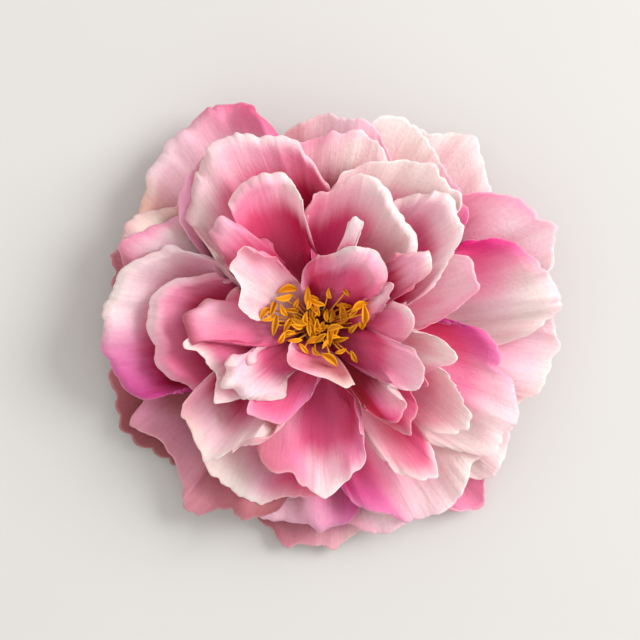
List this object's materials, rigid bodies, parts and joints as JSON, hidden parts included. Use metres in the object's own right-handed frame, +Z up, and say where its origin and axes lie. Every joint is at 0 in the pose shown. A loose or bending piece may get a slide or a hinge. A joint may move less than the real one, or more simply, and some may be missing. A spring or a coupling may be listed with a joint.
{
  "type": "peony flower head",
  "caption": "Cut double peony bloom, open and face up: ruffled blush and magenta petals nested round a golden tuft of stamens, resting on its outer petals and calyx.",
  "frame": {"origin": "on the table, under the middle of the bloom's outline seen from above", "axes": "+Z up along the flower's axis, out of the open face; +Y is the top of the flower as it is seen from above and +X its right"},
  "size_m": [0.1516, 0.15, 0.0579],
  "materials": {
    "guard_petal": "soft matte petal, blush to dusky pink, paler at the rim",
    "middle_petal": "soft matte petal, pink with a magenta base and cream rim",
    "inner_petal": "soft matte petal, rose with cream folds",
    "centre_petal": "soft matte petal, magenta rose with a pale curled edge",
    "sepal": "matte green leaf, finely veined",
    "receptacle": "matte green stem and calyx",
    "stamen": "powdery golden anthers on thin filaments"
  },
  "bodies": {
    "root": {"guard_petal_1": "guard_petal", "guard_petal_2": "guard_petal", "guard_petal_3": "guard_petal", "guard_petal_4": "guard_petal", "guard_petal_5": "guard_petal", "guard_petal_6": "guard_petal", "guard_petal_7": "guard_petal", "guard_petal_8": "guard_petal", "guard_petal_9": "guard_petal", "guard_petal_10": "guard_petal", "guard_petal_11": "guard_petal", "guard_petal_12": "guard_petal", "guard_petal_13": "guard_petal", "guard_petal_14": "guard_petal", "guard_petal_15": "guard_petal", "guard_petal_16": "guard_petal", "guard_petal_17": "guard_petal", "middle_petal_1": "middle_petal", "middle_petal_2": "middle_petal", "middle_petal_3": "middle_petal", "middle_petal_4": "middle_petal", "middle_petal_5": "middle_petal", "middle_petal_6": "middle_petal", "middle_petal_7": "middle_petal", "middle_petal_8": "middle_petal", "middle_petal_9": "middle_petal", "middle_petal_10": "middle_petal", "middle_petal_11": "middle_petal", "middle_petal_12": "middle_petal", "middle_petal_13": "middle_petal", "middle_petal_14": "middle_petal", "middle_petal_15": "middle_petal", "middle_petal_16": "middle_petal", "middle_petal_17": "middle_petal", "inner_petal_1": "inner_petal", "inner_petal_2": "inner_petal", "inner_petal_3": "inner_petal", "inner_petal_4": "inner_petal", "inner_petal_5": "inner_petal", "inner_petal_6": "inner_petal", "inner_petal_7": "inner_petal", "inner_petal_8": "inner_petal", "inner_petal_9": "inner_petal", "inner_petal_10": "inner_petal", "centre_petal_1": "centre_petal", "centre_petal_2": "centre_petal", "centre_petal_3": "centre_petal", "centre_petal_4": "centre_petal", "centre_petal_5": "centre_petal", "sepal_1": "sepal", "sepal_2": "sepal", "sepal_3": "sepal", "sepal_4": "sepal", "sepal_5": "sepal", "receptacle": "receptacle", "stamens_1": "stamen", "stamens_2": "stamen", "stamens_3": "stamen", "stamens_4": "stamen", "stamens_5": "stamen"}
  },
  "joints": []
}
